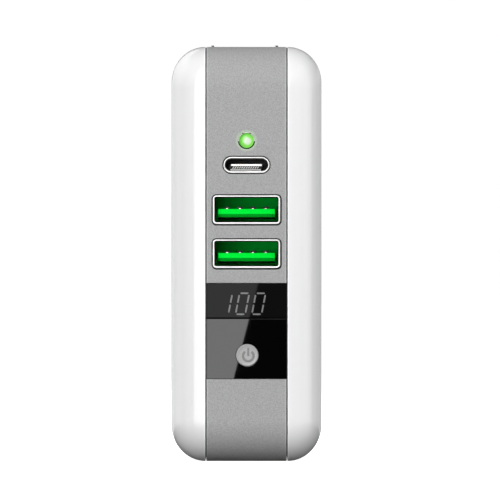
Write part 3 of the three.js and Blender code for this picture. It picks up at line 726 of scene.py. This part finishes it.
def digit(b, x, segments):
    """A slanted seven-segment digit centred on x."""
    w, h, g = DIGIT_WIDTH / 2, DIGIT_HEIGHT / 2, SEGMENT_GAP
    ends = {
        "top": ((-w + g, h), (w - g, h)),
        "middle": ((-w + g, 0), (w - g, 0)),
        "bottom": ((-w + g, -h), (w - g, -h)),
        "upper_left": ((-w, g), (-w, h - 2 * g)),
        "upper_right": ((w, g), (w, h - 2 * g)),
        "lower_left": ((-w, -h + 2 * g), (-w, -g)),
        "lower_right": ((w, -h + 2 * g), (w, -g)),
    }
    y0, y1 = WINDOW_LOW.y - 0.015, WINDOW_LOW.y + 0.2
    for segment in segments:
        (x0, z0), (x1, z1) = ends[segment]
        start = (x + x0 + z0 * DIGIT_SLANT, DIGIT_Z + z0)
        end = (x + x1 + z1 * DIGIT_SLANT, DIGIT_Z + z1)
        stroke(b, start, end, y0, y1)


ZERO = ["top", "bottom", "upper_left", "upper_right", "lower_left", "lower_right"]


def display_number():
    """The number 100."""
    b = Builder()
    digit(b, MIDDLE_DIGIT_X - DIGIT_PITCH + ONE_SHIFT, ["upper_right", "lower_right"])
    digit(b, MIDDLE_DIGIT_X, ZERO)
    digit(b, MIDDLE_DIGIT_X + DIGIT_PITCH, ZERO)
    b.piece("display_digits", DIGIT, "housing", "smoked_window")


display_number()


# ------------------------------------------------------------------ button and status light
def turned(b, profile, z, x=0.0, steps=64):
    """The (radius, y) profile turned about a line along Y; it starts and ends on the axis."""
    rings = []
    for radius, y in profile:
        if radius == 0.0:
            rings.append(b.ring([(x, y, z)]) * steps)
            continue
        rings.append(b.ring([
            (x + radius * math.cos(2 * math.pi * i / steps), y,
             z + radius * math.sin(2 * math.pi * i / steps)) for i in range(steps)]))
    for ring, next_ring in zip(rings, rings[1:]):
        for i in range(steps):
            j = (i + 1) % steps
            corners = dict.fromkeys((ring[i], ring[j], next_ring[j], next_ring[i]))
            b.faces.append(tuple(corners))


def button():
    """The cap's face is a shallow dish inside a raised rim."""
    b = Builder()
    y = CAP_LOW.y
    dish, rim = 0.1, 0.15
    flange_r, flange, skirt, stem_r = CAP_R + 0.85, y + 2.7, y + 3.5, 1.5
    profile = [(0.0, y + dish)]
    profile += [(r, y + dish - 0.012 * (r / 1.8) ** 2) for r in (0.6, 1.2, 1.66)]
    profile += [(1.78, y + 0.07), (1.86, y + 0.03), (1.93, y), (CAP_R - rim, y)]
    profile += [(CAP_R - rim * (1 - math.sin(a)), y + rim * (1 - math.cos(a)))
                for a in quarter(4)[1:]]
    profile += [(CAP_R, flange), (flange_r, flange), (flange_r, skirt), (stem_r, skirt),
                (stem_r, CAP_HIGH.y), (0.0, CAP_HIGH.y)]
    turned(b, profile, BUTTON_Z, BUTTON_X)
    b.piece("button_cap", CAP, "button", "cap_grey", ("power_button_cap",))


button()


def power_mark():
    """The sign on the cap: an open ring with an upright bar, a little off the cap's middle."""
    b = Builder()
    y0, y1 = CAP_LOW.y + 0.07, CAP_LOW.y + 0.3
    x, z = BUTTON_X + 0.2, BUTTON_Z - 0.12
    inner, outer = 0.79, 1.27
    opening = 38.0
    sections = []
    for a in quarter(40, 90.0 + opening, 450.0 - opening):
        c, s = math.cos(a), math.sin(a)
        sections.append([(x + inner * c, y0, z + inner * s), (x + outer * c, y0, z + outer * s),
                         (x + outer * c, y1, z + outer * s), (x + inner * c, y1, z + inner * s)])
    b.block(sections)
    half, foot, tip = 0.2, z - 0.05, z + 1.6
    b.block([[(x - half, y, foot), (x + half, y, foot), (x + half, y, tip), (x - half, y, tip)]
             for y in (y0, y1)])
    b.piece("button_mark", MARK, "button", "cap_grey", bevel=0.02)


power_mark()


def status_lens():
    """The lit dome and the thin raised ring around it: pale chrome arcs above and at the sides, and
    a lower arc in painted shade.
    """
    b = Builder()
    y = LENS_LOW.y
    dome, radius = 0.75, STATUS_R - 0.02
    flange_r, flange, stem = radius + 0.6, y + 2.7, y + 3.7
    profile = [(radius * math.sin(a), y + dome * (1 - math.cos(a))) for a in quarter(12)]
    profile[0] = (0.0, y)
    profile += [(radius, flange), (flange_r, flange), (flange_r, stem), (radius, stem),
                (radius, LENS_HIGH.y), (0.0, LENS_HIGH.y)]
    turned(b, profile, STATUS_Z, steps=48)
    b.piece("status_lens", LENS, "housing", "lens_green", ("status_light_pipe",))
    arc_of_ring("status_bezel_left", BEZEL, 120.0, 184.0)
    arc_of_ring("status_bezel_right", BEZEL, -4.0, 60.0)
    arc_of_ring("status_bezel_upper", BEZEL, 67.0, 113.0)
    # Painted shade: the ring's lower arc is dark green where the other arcs are pale chrome.
    arc_of_ring("status_bezel_lower_painted_shade", BEZEL_PAINTED_SHADE, 186.0, 354.0, 0.12)


def arc_of_ring(name, material, start, end, thick=0.1):
    """A length of the raised ring around the lens, from start to end degrees."""
    b = Builder()
    y = LENS_LOW.y
    middle = STATUS_R + 0.01 + thick
    section = [(middle + thick * math.cos(a), y + thick * (1 - math.sin(a)))
               for a in quarter(11, 0.0, 330.0)]
    b.block([[(r * math.cos(turn), v, STATUS_Z + r * math.sin(turn)) for r, v in section]
             for turn in quarter(32, start, end)])
    b.piece(name, material, "housing", "lens_green")


status_lens()


# ------------------------------------------------------------------ socket shells
def socket_shell(prefix, wall, above=0.0, below=0.0):
    """A drawn metal tube with a rounded mouth. Its wall is thicker at the top and at the bottom
    by above and below."""
    low, high = node_box(prefix + "_shell")
    middle, _, half_z = socket_centre(prefix)
    even = socket_outline(prefix)

    def outline(grow):
        """The tube's outline, which the thicker wall narrows on its inside."""
        inside = min(1.0, max(0.0, -grow / wall))
        points = []
        for x, z in even(grow):
            tall = (z - middle) / (half_z + grow)
            points.append((x, z - inside * tall * (above if tall > 0 else below)))
        return points

    b = Builder()
    y0, y1 = low.y, high.y
    round_mouth = 0.1
    turns = [(0.0, y1)]
    for a in quarter(3):
        turns.append((-round_mouth * (1 - math.cos(a)), y0 + round_mouth * (1 - math.sin(a))))
    for a in quarter(3):
        turns.append((-wall + round_mouth * (1 - math.sin(a)),
                      y0 + round_mouth * (1 - math.cos(a))))
    turns.append((-wall, y1))
    rings = [b.ring([(x, y, z) for x, z in outline(grow)]) for grow, y in turns]
    for ring, next_ring in zip(rings, rings[1:] + rings[:1]):
        b.bridge(ring, next_ring)
    b.piece(prefix + "_metal", NICKEL, "housing", "nickel", (prefix + "_shell",))
    skin = wall + 0.02
    mouth = y0 + 0.14
    painted_collar_end = mouth + 0.3

    def shade_sleeve(name, material, slot, start, end, thick):
        """A sleeve against the tube's inside, dark as painted shade."""
        sleeve = Builder()
        walls = [(-skin, start), (-skin, end), (-skin - thick, end), (-skin - thick, start)]
        rings = [sleeve.ring([(x, y, z) for x, z in outline(grow)]) for grow, y in walls]
        for ring, next_ring in zip(rings, rings[1:] + rings[:1]):
            sleeve.bridge(ring, next_ring)
        sleeve.piece(prefix + name, material, "housing", slot)

    # Painted shade: a black sleeve in the USB-C socket, and a black collar and a dark green sleeve
    # in the USB-A sockets, darken their insides.
    if prefix == "usb_c":
        shade_sleeve("_painted_shade_liner", BLACK, "socket_black", mouth, y0 + 9.0, 0.1)
    else:
        shade_sleeve("_painted_shade_collar", SHADE_AND_JOINT_BLACK, "socket_green", mouth, painted_collar_end, 0.12)
        shade_sleeve("_painted_shade_liner", SOCKET_PAINTED_SHADE, "socket_green", painted_collar_end + 0.02, y0 + 10.8, 0.1)


for prefix in SOCKETS_A:
    socket_shell(prefix, 0.37, -0.05, 0.02)
socket_shell("usb_c", 0.29, 0.03, 0.09)


def arch(b, x, base, half, height, y0, y1, steps):
    """A bar along Y with a round top, which stands on base."""
    turn = [(x + half * math.cos(a), base + height * math.sin(a))
            for a in quarter(steps, 0.0, 180.0)]
    b.block([[(u, y, v) for u, v in turn] for y in (y0, y1)])


def usb_a_inside(prefix):
    """The green tongue with its undercut lip, its four contacts and the socket's back wall, with a
    painted shadow under the lip and painted shade behind the contacts.
    """
    low, high = node_box(prefix + "_tongue")
    z = socket_centre(prefix)[0]
    face, back = low.y, high.y - 1.0
    top, middle, base = z + 0.15, z - 0.83, z - 1.46
    lip = 0.95
    end, groove = 5.58, 5.15

    def profile(inset):
        return [(face + inset, top), (face + inset, middle), (face + lip + inset, base),
                (back, base), (back, top)]

    b = Builder()
    width, depth, bevel = 0.07, 0.16, 0.05
    half = [(groove - width, 0.0), (groove, depth), (groove + width, 0.0), (end - bevel, 0.0),
            (end, bevel)]
    stops = [(-x, inset) for x, inset in reversed(half)] + half
    b.block([[(x, y, v) for y, v in profile(inset)] for x, inset in stops])
    b.piece(prefix + "_tongue_green", GREEN, "housing", "socket_green", (prefix + "_tongue",),
            sharp=25)

    # Painted shadow: a black bar under the tongue's lip.
    foot = Builder()
    front, head, sole = face + lip + 0.1, base - 0.02, base - 0.3
    foot.bar([(front, head), (front, sole), (back, sole), (back, head)], -end, end)
    foot.piece(prefix + "_tongue_painted_shadow", SHADE_AND_JOINT_BLACK, "housing", "socket_green")

    wall = Builder()
    _, half_x, half_z = socket_centre(prefix)
    depth = face + 8.6
    wall.block([[(x, y, v) for x, v in rounded(half_x - 0.5, half_z - 0.5, 0.4, z)()]
                for y in (depth, depth + 0.6)])
    wall.piece(prefix + "_back_wall", DEEP_GREEN, "housing", "socket_green")

    # Painted shade: black humps behind each contact nub stand in for the shaded contact springs.
    painted_shade_humps = Builder()
    for i in range(1, 5):
        node = f"{prefix}_contact_{i}"
        x = sum(v.x for v in node_box(node)) / 2
        nub = Builder()
        arch(nub, x, top + 0.01, 0.2, 0.18, face + 0.3, face + 4.0, steps=10)
        nub.piece(node + "_metal", NICKEL, "housing", "nickel", (node,), bevel=0.03)
        arch(painted_shade_humps, x, top + 0.01, 0.64, 0.5, face + 4.1, face + 8.5, steps=14)
    painted_shade_humps.piece(prefix + "_contact_painted_shade", BLACK, "housing", "socket_green")


for prefix in SOCKETS_A:
    usb_a_inside(prefix)


def centred(count, pitch, middle=0.0):
    """Places along X, evenly spread around the middle."""
    return [middle + (i - (count - 1) / 2) * pitch for i in range(count)]


def usb_c_inside():
    """The thin tongue with its bright front edge, the slanted row of contacts under it, and the
    pale sill at the bottom of the mouth, whose near-white colour is a painted reflection."""
    low, high = node_box("usb_c_tongue")
    z = (SOCKET_C_LOW.z + SOCKET_C_HIGH.z) / 2
    face = low.y
    half, top, base = 3.03, z + 0.17, z - 0.22
    edge = Builder()
    edge.bar([(face, top), (face, base), (face + 0.5, base), (face + 0.5, top)], -half, half)
    edge.piece("usb_c_tongue_edge", NICKEL, "housing", "nickel", ("usb_c_tongue",), bevel=0.04)
    body = Builder()
    behind = face + 0.52
    body.bar([(behind, top), (behind, base), (high.y, base), (high.y, top)], -half, half)
    root, foot, head = face + 0.9, z - 0.75, base - 0.02
    for left, right in ((-half - 0.3, -half + 0.15), (half - 0.6, half + 0.05)):
        body.bar([(root, head), (root, foot), (high.y, foot), (high.y, head)], left, right)
    body.piece("usb_c_tongue_body", BLACK, "housing", "socket_black", bevel=0.03)
    contacts = 12
    pads = Builder()
    start, end, thick = face + 4.0, high.y - 1.0, 0.03
    for x in centred(contacts, 0.48):
        pads.bar([(start, top), (start, top + thick), (end, top + thick), (end, top)],
                 x - 0.13, x + 0.13)
    pads.piece("usb_c_pads_upper", GOLD, "housing", "gold", ("usb_c_contacts_upper",))

    teeth = Builder()
    width, lean = 0.2, 0.15
    for x in centred(contacts, 0.44, -0.16):
        tooth = [(x + lean, base - 0.03), (x + lean + width, base - 0.03),
                 (x + width - lean, foot + 0.05), (x - lean, foot + 0.05)]
        teeth.block([[(u - width / 2, y, v) for u, v in tooth] for y in (face + 0.4, face + 0.8)])
    teeth.piece("usb_c_contact_row", CONTACT, "housing", "gold", ("usb_c_contacts_lower",))

    floor = Builder()
    sill, slope_end, floor_end = SOCKET_C_LOW.z + 0.41, face + 0.8, face + 3.8
    level = sill + 0.4
    floor.bar([(face + 0.1, sill), (slope_end, level), (floor_end, level), (floor_end, sill)],
              -3.2, 2.85)
    floor.piece("usb_c_floor", SILL_PAINTED_REFLECTION, "housing", "nickel", bevel=0.02)


usb_c_inside()


# ------------------------------------------------------------------ pieces refined from the CAD
def cad_copy(node):
    """A copy of a CAD node's mesh, with its flat faces in one piece each."""
    bm = bmesh.new()
    bm.from_mesh(frame["nodes"][node].data)
    bmesh.ops.remove_doubles(bm, verts=bm.verts, dist=1e-7)
    bmesh.ops.dissolve_limit(bm, angle_limit=math.radians(0.6), verts=bm.verts, edges=bm.edges)
    return bm


def refined(bm, node, name, material, body, bevel):
    """A piece that stands for the node, with the copy's edges rounded by bevel millimetres."""
    round_edges(bm, bevel)
    mesh = bpy.data.meshes.new(name)
    bm.to_mesh(mesh)
    bm.free()
    finish_piece(name, mesh, material, body, (node,))


for node, name, body in (("plug_cradle", "cradle_white", "housing"),
                         ("plug_roller", "roller_white", "plug")):
    refined(cad_copy(node), node, name, WHITE, body, 0.12)


def blade(side):
    """A blade whose long edges are ground down on their right-hand side, which leaves a ridge."""
    node = "plug_blade_" + side
    low, high = node_box(node)
    middle = (low.z + high.z) / 2
    ridge, foot, ground, kept = 0.66, 0.78, 0.6, 2.0
    bm = cad_copy(node)
    for x in (ridge, foot):
        bmesh.ops.bisect_plane(bm, geom=[*bm.verts, *bm.edges, *bm.faces],
                               plane_co=((low.x + x) * MM, 0.0, 0.0), plane_no=(1.0, 0.0, 0.0))
    half = (high.z - low.z) / 2
    for vert in bm.verts:
        up = vert.co.z / MM - middle
        if vert.co.x / MM > low.x + foot - 0.001 and abs(up) > kept:
            lowered = kept + (abs(up) - kept) * (half - ground - kept) / (half - kept)
            vert.co.z = (middle + math.copysign(lowered, up)) * MM
    refined(bm, node, "blade_" + side, BLADE, "plug", 0.06)


for side in ("left", "right"):
    blade(side)

# ------------------------------------------------------------------ CAD nodes that stay
KEPT = {
    "usb_c_stand": BLACK,
    "switch_plunger": BLACK, "switch_base": NICKEL, "port_board": BOARD,
    "display_module": BLACK, "status_led": WHITE, "charge_controller_chip": BLACK,
    "board_screw_lower": NICKEL, "board_screw_upper": NICKEL, "power_board": BOARD,
    "transformer_core": FERRITE, "transformer_winding": TAPE,
    "mains_capacitor_front": SLEEVE, "mains_capacitor_rear": SLEEVE,
    "output_capacitor": SLEEVE, "power_inductor": FERRITE, "heat_spreader": ALUMINIUM,
    "board_link_header": BLACK, "battery_cell_front": CELL, "battery_cell_rear": CELL,
    "cell_strip_top": NICKEL, "cell_strip_bottom": NICKEL, "cell_holder_bottom": HOLDER,
    "cell_holder_top": HOLDER, "foam_pad_left": FOAM, "foam_pad_right": FOAM,
    "plug_contact_left": GOLD, "plug_contact_right": GOLD, "plug_detent_spring": NICKEL,
    "mains_lead_left": WIRE_BLUE, "mains_lead_right": WIRE_BLACK,
    "battery_lead_positive": WIRE_RED, "battery_lead_negative": WIRE_BLACK,
}
for node, material in KEPT.items():
    slots = frame["nodes"][node].material_slots
    if not slots:
        frame["nodes"][node].data.materials.append(material)
    for material_slot in slots:
        material_slot.material = material


# ------------------------------------------------------------------ camera, lights and floor
CAMERA_DISTANCE_M = 3.0
VIEW_WIDTH_M = 0.09827
VIEW_X_M = 0.00069
VIEW_Z_M = 0.04159
VIEW_ABOVE = math.radians(0.1)
CAMERA_M = Vector((VIEW_X_M, FRONT * MM - CAMERA_DISTANCE_M,
                   VIEW_Z_M + CAMERA_DISTANCE_M * math.sin(VIEW_ABOVE)))


def camera():
    """A distant camera with a long lens, level with the object's middle."""
    data = bpy.data.cameras.new("camera")
    data.lens = data.sensor_width * CAMERA_DISTANCE_M / VIEW_WIDTH_M
    data.clip_start = 0.05
    data.clip_end = 50.0
    view = bpy.data.objects.new("camera", data)
    view.location = CAMERA_M
    view.rotation_euler = (math.radians(90.0) - VIEW_ABOVE, 0.0, 0.0)
    bpy.context.scene.collection.objects.link(view)
    bpy.context.scene.camera = view


camera()


def softbox(name, place, target, width, height, radiance, roll=0.0):
    """A rectangular light of even brightness that stands at place and faces target, in metres.
    roll leans it to the right."""
    data = bpy.data.lights.new(name, "AREA")
    data.shape = "RECTANGLE"
    data.size = width
    data.size_y = height
    data.energy = radiance * math.pi * width * height
    light = bpy.data.objects.new(name, data)
    light.location = place
    aim = (Vector(target) - Vector(place)).to_track_quat("-Z", "Y")
    light.rotation_mode = "QUATERNION"
    light.rotation_quaternion = aim @ Quaternion((0.0, 0.0, 1.0), -roll)
    light.visible_camera = False
    bpy.context.scene.collection.objects.link(light)


# The main softbox stands just left of the camera's line of sight, and leans: its right edge is
# what the polished window mirrors.
KEY_DISTANCE_M = 0.9
KEY_LEAN = math.radians(14.5)
KEY_WIDTH_M = 0.76
KEY_EDGE_M = 0.0033


def key_light(part, low, high, radiance):
    """One of the softbox's parts, between the heights low and high in metres."""
    mirrored = Vector((VIEW_X_M + KEY_EDGE_M, VIEW_Z_M))
    eye = Vector((CAMERA_M.x, CAMERA_M.z))
    edge = mirrored + (mirrored - eye) * KEY_DISTANCE_M / CAMERA_DISTANCE_M
    up = Vector((math.sin(KEY_LEAN), math.cos(KEY_LEAN)))
    right = Vector((math.cos(KEY_LEAN), -math.sin(KEY_LEAN)))
    middle = edge + up * (low + high) / 2 - right * KEY_WIDTH_M / 2
    place = (middle.x, FRONT * MM - KEY_DISTANCE_M, middle.y)
    softbox("key_" + part, place, (middle.x, 0.0, middle.y), KEY_WIDTH_M, high - low, radiance,
            roll=KEY_LEAN)


CENTRE_M = Vector((0.0, 0.0, HEIGHT / 2 * MM))
PANEL_DISTANCE_M = 1.0


def panel(name, azimuth, elevation, radiance):
    """A softbox that spans azimuth and elevation, each a pair in degrees. Azimuth 0 is towards
    the camera, and 90 is to the right."""
    a = math.radians(sum(azimuth) / 2)
    e = math.radians(sum(elevation) / 2)
    toward = Vector((math.sin(a) * math.cos(e), -math.cos(a) * math.cos(e), math.sin(e)))
    half_a = math.radians(abs(azimuth[1] - azimuth[0]) / 2)
    half_e = math.radians(abs(elevation[1] - elevation[0]) / 2)
    width = 2 * PANEL_DISTANCE_M * math.tan(half_a) * math.cos(e)
    height = 2 * PANEL_DISTANCE_M * math.tan(half_e)
    softbox(name, CENTRE_M + toward * PANEL_DISTANCE_M, CENTRE_M, width, height, radiance)


key_light("lower", -0.6, -0.3, 0.9)
key_light("middle", -0.3, 0.3, 3.9)
key_light("upper", 0.3, 0.66, 6.0)
key_light("top", 0.66, 1.1, 4.0)
panel("right_low", (58, 92), (-40, -10), 0.3)
panel("right_wall", (58, 92), (-10, 20), 1.85)
panel("right_high", (58, 92), (20, 55), 0.9)
panel("right_front_low", (32, 58), (-20, 10), 0.6)
panel("right_front_high", (32, 58), (10, 50), 0.3)
panel("left_rear_low", (-165, -95), (-10, 15), 1.2)
panel("left_rear_high", (-165, -95), (15, 50), 1.4)
panel("right_rear_low", (100, 165), (-10, 15), 0.8)
panel("right_rear_high", (100, 165), (15, 50), 0.2)


def world():
    """A dim, even surrounding light, darker from below."""
    made = bpy.data.worlds.new("studio")
    bpy.context.scene.world = made
    made.use_nodes = True
    tree = made.node_tree
    background = tree.nodes["Background"]
    place = tree.nodes.new("ShaderNodeTexCoord")
    split = tree.nodes.new("ShaderNodeSeparateXYZ")
    horizon, overhead = 0.05, 0.5
    below, above = 0.006, 0.13
    strength = map_range(tree, split.outputs["Z"], horizon, overhead, below, above)
    tree.links.new(place.outputs["Generated"], split.inputs["Vector"])
    tree.links.new(strength, background.inputs["Strength"])
    background.inputs["Color"].default_value = (1.0, 1.0, 1.0, 1.0)


world()


STAGE_RADIUS_M = 6.0


def stage_material(name, color, glow):
    """Cloth that glows by itself."""
    n = Nodes(name)
    cloth = n.noise(4.0)
    n.link(n.tint(cloth, shade(color, 0.99), color), n.shader.inputs["Base Color"])
    n.shader.inputs["Roughness"].default_value = 0.9
    n.shader.inputs["Emission Color"].default_value = (1.0, 1.0, 1.0, 1.0)
    n.shader.inputs["Emission Strength"].default_value = glow
    return n.material


def stage_item(name, bm, material, z=0.0):
    """A piece of the set, which neither lights nor shades the object."""
    mesh = bpy.data.meshes.new(name)
    bm.to_mesh(mesh)
    bm.free()
    item = bpy.data.objects.new(name, mesh)
    item.location.z = z
    item.data.materials.append(material)
    bpy.context.scene.collection.objects.link(item)
    item.visible_diffuse = False
    item.visible_glossy = False
    item.visible_transmission = False
    item.visible_shadow = False


def stage():
    """A pale floor that runs out of sight, just under the object, and a white surround."""
    disc = bmesh.new()
    bmesh.ops.create_circle(disc, cap_ends=True, segments=96, radius=STAGE_RADIUS_M)
    stage_item("floor", disc, stage_material("floor_pale", (0.9, 0.9, 0.9), 0.98), -0.05 * MM)
    ball = bmesh.new()
    bmesh.ops.create_uvsphere(ball, u_segments=64, v_segments=32, radius=STAGE_RADIUS_M)
    stage_item("surround", ball, stage_material("surround_white", (0.0, 0.0, 0.0), 1.02))


stage()
bpy.context.scene.view_settings.view_transform = "Standard"
